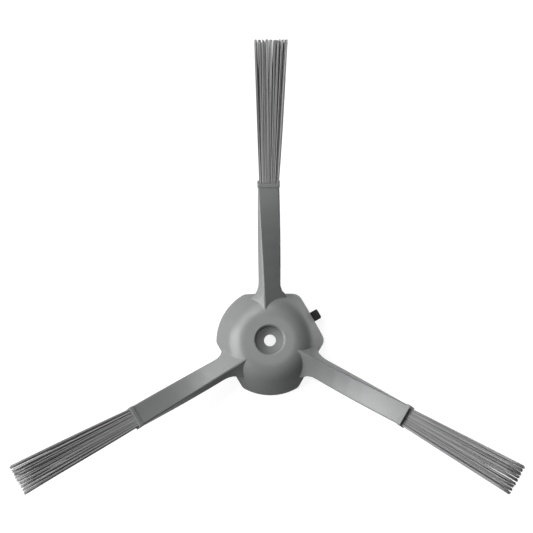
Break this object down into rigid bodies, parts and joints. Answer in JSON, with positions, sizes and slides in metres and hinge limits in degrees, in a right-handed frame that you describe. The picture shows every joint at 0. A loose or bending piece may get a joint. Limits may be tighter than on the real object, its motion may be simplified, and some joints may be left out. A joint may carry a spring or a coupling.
{
  "type": "robot vacuum side brush",
  "caption": "Side brush for a robot vacuum: grey moulded dome hub with a screw recess, three twisted rising arms, and a fan of stiff bristles in the end of each arm.",
  "frame": {"origin": "on the hub axis, in the plane of the underside of the hub's rim", "axes": "+Z along the hub axis, out of the screw recess; +Y along one arm"},
  "size_m": [0.1428, 0.1276, 0.0297],
  "materials": {
    "grey_plastic": "satin moulded grey plastic",
    "black_plastic": "matte black plastic",
    "bristle": "grey nylon filaments"
  },
  "bodies": {
    "root": {"hub_spider": "grey_plastic", "drive_insert": "black_plastic", "bristle_tuft_1": "bristle", "bristle_tuft_2": "bristle", "bristle_tuft_3": "bristle"}
  },
  "joints": []
}
